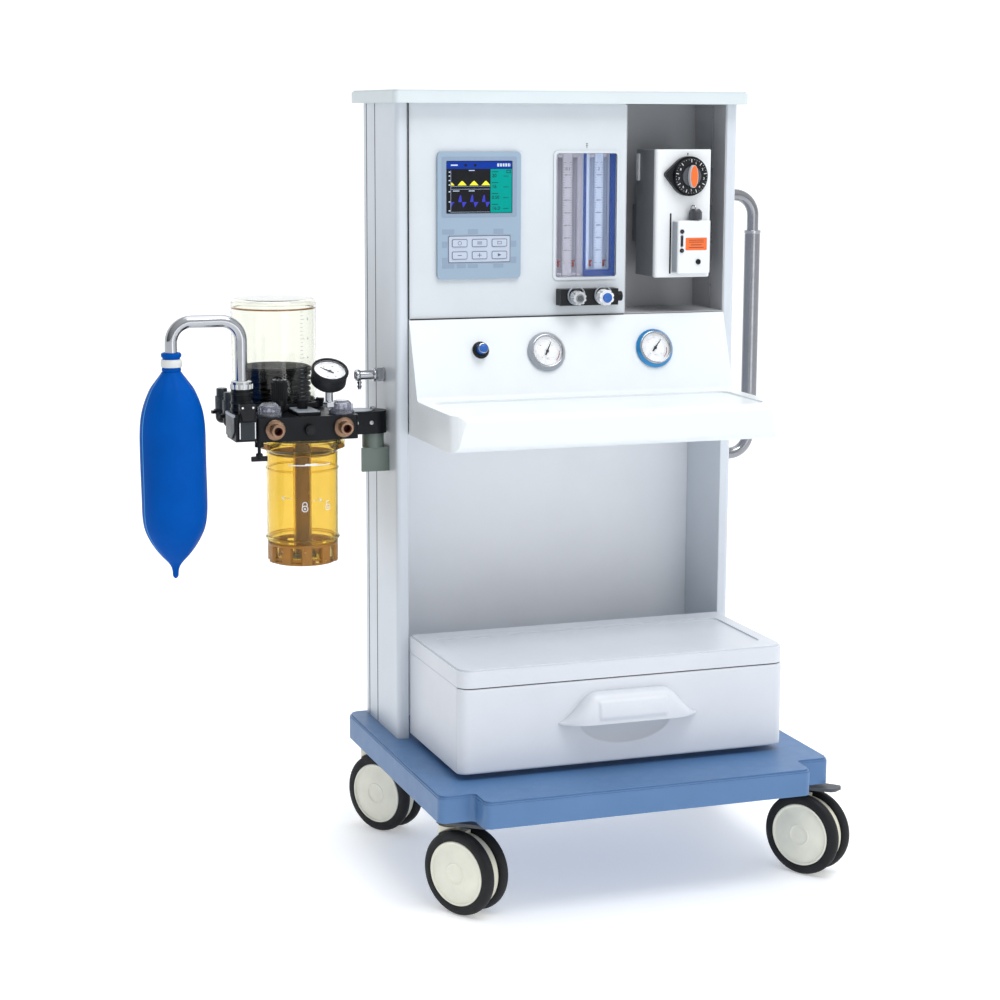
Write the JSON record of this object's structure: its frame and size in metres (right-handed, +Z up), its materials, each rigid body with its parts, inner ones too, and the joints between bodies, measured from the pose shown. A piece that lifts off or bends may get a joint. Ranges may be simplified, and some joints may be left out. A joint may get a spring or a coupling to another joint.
{
  "type": "veterinary anesthesia machine",
  "caption": "Anesthesia trolley on casters with drawer, flow meters, vaporizer, display and a swinging breathing system with bellows, canister and bag.",
  "frame": {"origin": "on the floor, under the centre of the bounding box", "axes": "+Z up, -Y is the front with the drawer and controls, +X is the side with the push handle"},
  "size_m": [1.23, 0.676, 1.41],
  "materials": {
    "base_paint": "satin powder coat",
    "column_coat": "satin white powder coat on an extrusion",
    "cover_white": "semi-gloss",
    "panel_grey": "fine textured paint",
    "bay_dark": "dark grey textured paint",
    "shell_white": "semi-gloss moulded",
    "tray_grey": "matte moulded",
    "handle_chrome": "polished",
    "caster_cream": "satin moulded",
    "caster_tyre": "rounded tread on cream discs",
    "pedal_grey": "textured",
    "bezel_blue": "satin moulded",
    "screen": "clear cover over a colour display",
    "keypad": "membrane with printed keys",
    "window": "clear cover over a printed scale",
    "tube_glass": "clear",
    "float_red": "gloss",
    "valve_dark": "black anodised",
    "knob_clear": "gloss fluted",
    "knob_blue": "gloss fluted, blue centre",
    "vaporizer_coat": "semi-gloss enamel",
    "dial_dark": "matte with white marks and an orange grip",
    "cap_metal": "knurled",
    "gauge_metal": "satin rim and white dial",
    "needle_black": "matte",
    "button_blue": "gloss",
    "bracket_grey": "grey-green anodised",
    "arm_black": "black anodised",
    "block_black": "black anodised",
    "dome_clear": "clear with a faint yellow cast",
    "bellows_rubber": "matte",
    "bellows_top": "matte",
    "arm_chrome": "polished",
    "bag_rubber": "satin with a light seam",
    "canister_amber": "translucent amber",
    "seal_rubber": "matte",
    "gauge_black": "satin",
    "port_brass": "satin",
    "valve_clear": "clear",
    "knob_black": "ribbed",
    "lever_grey": "satin",
    "fitting_chrome": "polished",
    "module_grey": "matte",
    "switch_black": "satin",
    "screw_steel": "plain"
  },
  "bodies": {
    "trolley": {"base_tray": "base_paint", "left_column": "column_coat", "right_column": "column_coat", "top_cover": "cover_white", "back_panel": "panel_grey", "front_panel": "panel_grey", "vaporizer_bay": "bay_dark", "console": "shell_white", "storage_cabinet": "shell_white", "storage_lid": "shell_white", "side_handle": "handle_chrome", "display_bezel": "bezel_blue", "display_screen": "screen", "keypad": "keypad", "flow_window": "window", "flow_tubes": "tube_glass", "flow_valve_block": "valve_dark", "vaporizer_body": "vaporizer_coat", "panel_gauges": "gauge_metal", "arm_bracket": "bracket_grey", "gas_fittings": "fitting_chrome", "ventilator_module": "module_grey", "screws": "screw_steel"},
    "breathing_system": {"support_arm": "arm_black", "absorber_block": "block_black", "bellows_dome": "dome_clear", "bellows_folds": "bellows_rubber", "airway_gauge": "gauge_black", "breathing_ports": "port_brass", "valve_domes": "valve_clear"},
    "drawer": {"drawer_front": "shell_white", "drawer_tray": "tray_grey"},
    "bellows_plate": {"bellows_disc": "bellows_top"},
    "bag_arm_body": {"bag_arm": "arm_chrome", "breathing_bag": "bag_rubber"},
    "canister_lock": {"canister_seal": "seal_rubber"},
    "canister_body": {"canister": "canister_amber"},
    "yoke_front_left": {"caster_yoke_front_left": "caster_cream"},
    "wheels_front_left": {"caster_wheels_front_left": "caster_tyre"},
    "pedal_left": {"brake_pedal_left": "pedal_grey"},
    "yoke_front_right": {"caster_yoke_front_right": "caster_cream"},
    "wheels_front_right": {"caster_wheels_front_right": "caster_tyre"},
    "pedal_right": {"brake_pedal_right": "pedal_grey"},
    "yoke_rear_left": {"caster_yoke_rear_left": "caster_cream"},
    "wheels_rear_left": {"caster_wheels_rear_left": "caster_tyre"},
    "yoke_rear_right": {"caster_yoke_rear_right": "caster_cream"},
    "wheels_rear_right": {"caster_wheels_rear_right": "caster_tyre"},
    "flush": {"flush_button": "button_blue"},
    "nitrous_valve": {"nitrous_knob": "knob_clear"},
    "oxygen_valve": {"oxygen_knob": "knob_blue"},
    "nitrous_float": {"nitrous_floats": "float_red"},
    "oxygen_float": {"oxygen_floats": "float_red"},
    "dial": {"vaporizer_dial": "dial_dark"},
    "cap": {"filler_cap": "cap_metal"},
    "air_needle": {"air_gauge_needle": "needle_black"},
    "oxygen_needle": {"oxygen_gauge_needle": "needle_black"},
    "airway_needle": {"airway_gauge_needle": "needle_black"},
    "limit_knob": {"pressure_limit_knob": "knob_black"},
    "lever": {"bag_vent_lever": "lever_grey"},
    "switch": {"power_switch": "switch_black"}
  },
  "joints": [
    {"name": "swivel_front_left", "type": "hinge", "parent": "trolley", "child": "yoke_front_left", "pos_m": [-0.148, -0.217, 0.18], "axis": [0, 0, 1], "continuous": true},
    {"name": "roll_front_left", "type": "hinge", "parent": "yoke_front_left", "child": "wheels_front_left", "pos_m": [-0.129, -0.24758, 0.075], "axis": [0.8494, 0.5277, 0], "continuous": true},
    {"name": "pedal_left", "type": "hinge", "parent": "yoke_front_left", "child": "pedal_left", "pos_m": [-0.148, -0.217, 0.158], "axis": [0.8494, 0.5277, 0], "range_deg": [0, 8]},
    {"name": "swivel_front_right", "type": "hinge", "parent": "trolley", "child": "yoke_front_right", "pos_m": [0.512, -0.217, 0.18], "axis": [0, 0, 1], "continuous": true},
    {"name": "roll_front_right", "type": "hinge", "parent": "yoke_front_right", "child": "wheels_front_right", "pos_m": [0.531, -0.24758, 0.075], "axis": [0.8494, 0.5277, 0], "continuous": true},
    {"name": "pedal_right", "type": "hinge", "parent": "yoke_front_right", "child": "pedal_right", "pos_m": [0.512, -0.217, 0.158], "axis": [0.8494, 0.5277, 0], "range_deg": [0, 8]},
    {"name": "swivel_rear_left", "type": "hinge", "parent": "trolley", "child": "yoke_rear_left", "pos_m": [-0.148, 0.272, 0.18], "axis": [0, 0, 1], "continuous": true},
    {"name": "roll_rear_left", "type": "hinge", "parent": "yoke_rear_left", "child": "wheels_rear_left", "pos_m": [-0.129, 0.24142, 0.075], "axis": [0.8494, 0.5277, 0], "continuous": true},
    {"name": "swivel_rear_right", "type": "hinge", "parent": "trolley", "child": "yoke_rear_right", "pos_m": [0.512, 0.272, 0.18], "axis": [0, 0, 1], "continuous": true},
    {"name": "roll_rear_right", "type": "hinge", "parent": "yoke_rear_right", "child": "wheels_rear_right", "pos_m": [0.531, 0.24142, 0.075], "axis": [0.8494, 0.5277, 0], "continuous": true},
    {"name": "drawer_slide", "type": "slide", "parent": "trolley", "child": "drawer", "axis": [0, -1, 0], "range_m": [0, 0.24]},
    {"name": "flush_press", "type": "slide", "parent": "trolley", "child": "flush", "axis": [0, 0.9453, -0.3262], "range_m": [0, 0.006], "stiffness_N_per_m": 600, "springref_m": -0.003},
    {"name": "nitrous_turn", "type": "hinge", "parent": "trolley", "child": "nitrous_valve", "pos_m": [0.185, 0.058, 1.0365], "axis": [0, -1, 0], "range_deg": [0, 270]},
    {"name": "nitrous_rise", "type": "slide", "parent": "trolley", "child": "nitrous_float", "axis": [0, 0, 1], "range_m": [0, 0.169]},
    {"name": "oxygen_turn", "type": "hinge", "parent": "trolley", "child": "oxygen_valve", "pos_m": [0.238, 0.058, 1.0365], "axis": [0, -1, 0], "range_deg": [0, 270]},
    {"name": "oxygen_rise", "type": "slide", "parent": "trolley", "child": "oxygen_float", "axis": [0, 0, 1], "range_m": [0, 0.169]},
    {"name": "dial_turn", "type": "hinge", "parent": "trolley", "child": "dial", "pos_m": [0.406, 0.0615, 1.256], "axis": [0, -1, 0], "range_deg": [0, 270]},
    {"name": "cap_turn", "type": "hinge", "parent": "trolley", "child": "cap", "pos_m": [0.418, 0.049, 1.175], "axis": [0, 0, 1], "range_deg": [0, 90]},
    {"name": "air_needle_turn", "type": "hinge", "parent": "trolley", "child": "air_needle", "pos_m": [0.127, 0.05726, 0.938], "axis": [0, -0.9453, 0.3262], "range_deg": [-150, 70]},
    {"name": "oxygen_needle_turn", "type": "hinge", "parent": "trolley", "child": "oxygen_needle", "pos_m": [0.342, 0.05726, 0.938], "axis": [0, -0.9453, 0.3262], "range_deg": [-150, 70]},
    {"name": "arm_swing", "type": "hinge", "parent": "trolley", "child": "breathing_system", "pos_m": [-0.178, 0.148, 0.8], "axis": [0, 0, 1], "range_deg": [-25, 40]},
    {"name": "bag_arm_swing", "type": "hinge", "parent": "breathing_system", "child": "bag_arm_body", "pos_m": [-0.431, 0.112, 0.88], "axis": [0, 0, 1], "range_deg": [-45, 90]},
    {"name": "bellows_rise", "type": "slide", "parent": "breathing_system", "child": "bellows_plate", "axis": [0, 0, 1], "range_m": [0, 0.1], "deforming": ["bellows_folds"]},
    {"name": "canister_twist", "type": "hinge", "parent": "breathing_system", "child": "canister_lock", "pos_m": [-0.312, 0.15, 0.788], "axis": [0, 0, 1], "range_deg": [0, 30]},
    {"name": "canister_lower", "type": "slide", "parent": "canister_lock", "child": "canister_body", "axis": [0, 0, -1], "range_m": [0, 0.12]},
    {"name": "airway_needle_turn", "type": "hinge", "parent": "breathing_system", "child": "airway_needle", "pos_m": [-0.277, 0.086, 0.905], "axis": [0, -0.5299, 0.848], "range_deg": [-200, 40]},
    {"name": "limit_turn", "type": "hinge", "parent": "breathing_system", "child": "limit_knob", "pos_m": [-0.354, 0.144, 0.84], "axis": [0, 0, 1], "range_deg": [0, 270]},
    {"name": "lever_turn", "type": "hinge", "parent": "breathing_system", "child": "lever", "pos_m": [-0.431, 0.0695, 0.848], "axis": [0, -1, 0], "range_deg": [0, 60]},
    {"name": "switch_rock", "type": "hinge", "parent": "trolley", "child": "switch", "pos_m": [0.018, 0.24, 1.05], "axis": [1, 0, 0], "range_deg": [0, 14]}
  ],
  "couplings": [
    {"joint": "nitrous_turn", "follows": "nitrous_rise", "rad_per_m": 27.8},
    {"joint": "oxygen_turn", "follows": "oxygen_rise", "rad_per_m": 27.8}
  ]
}
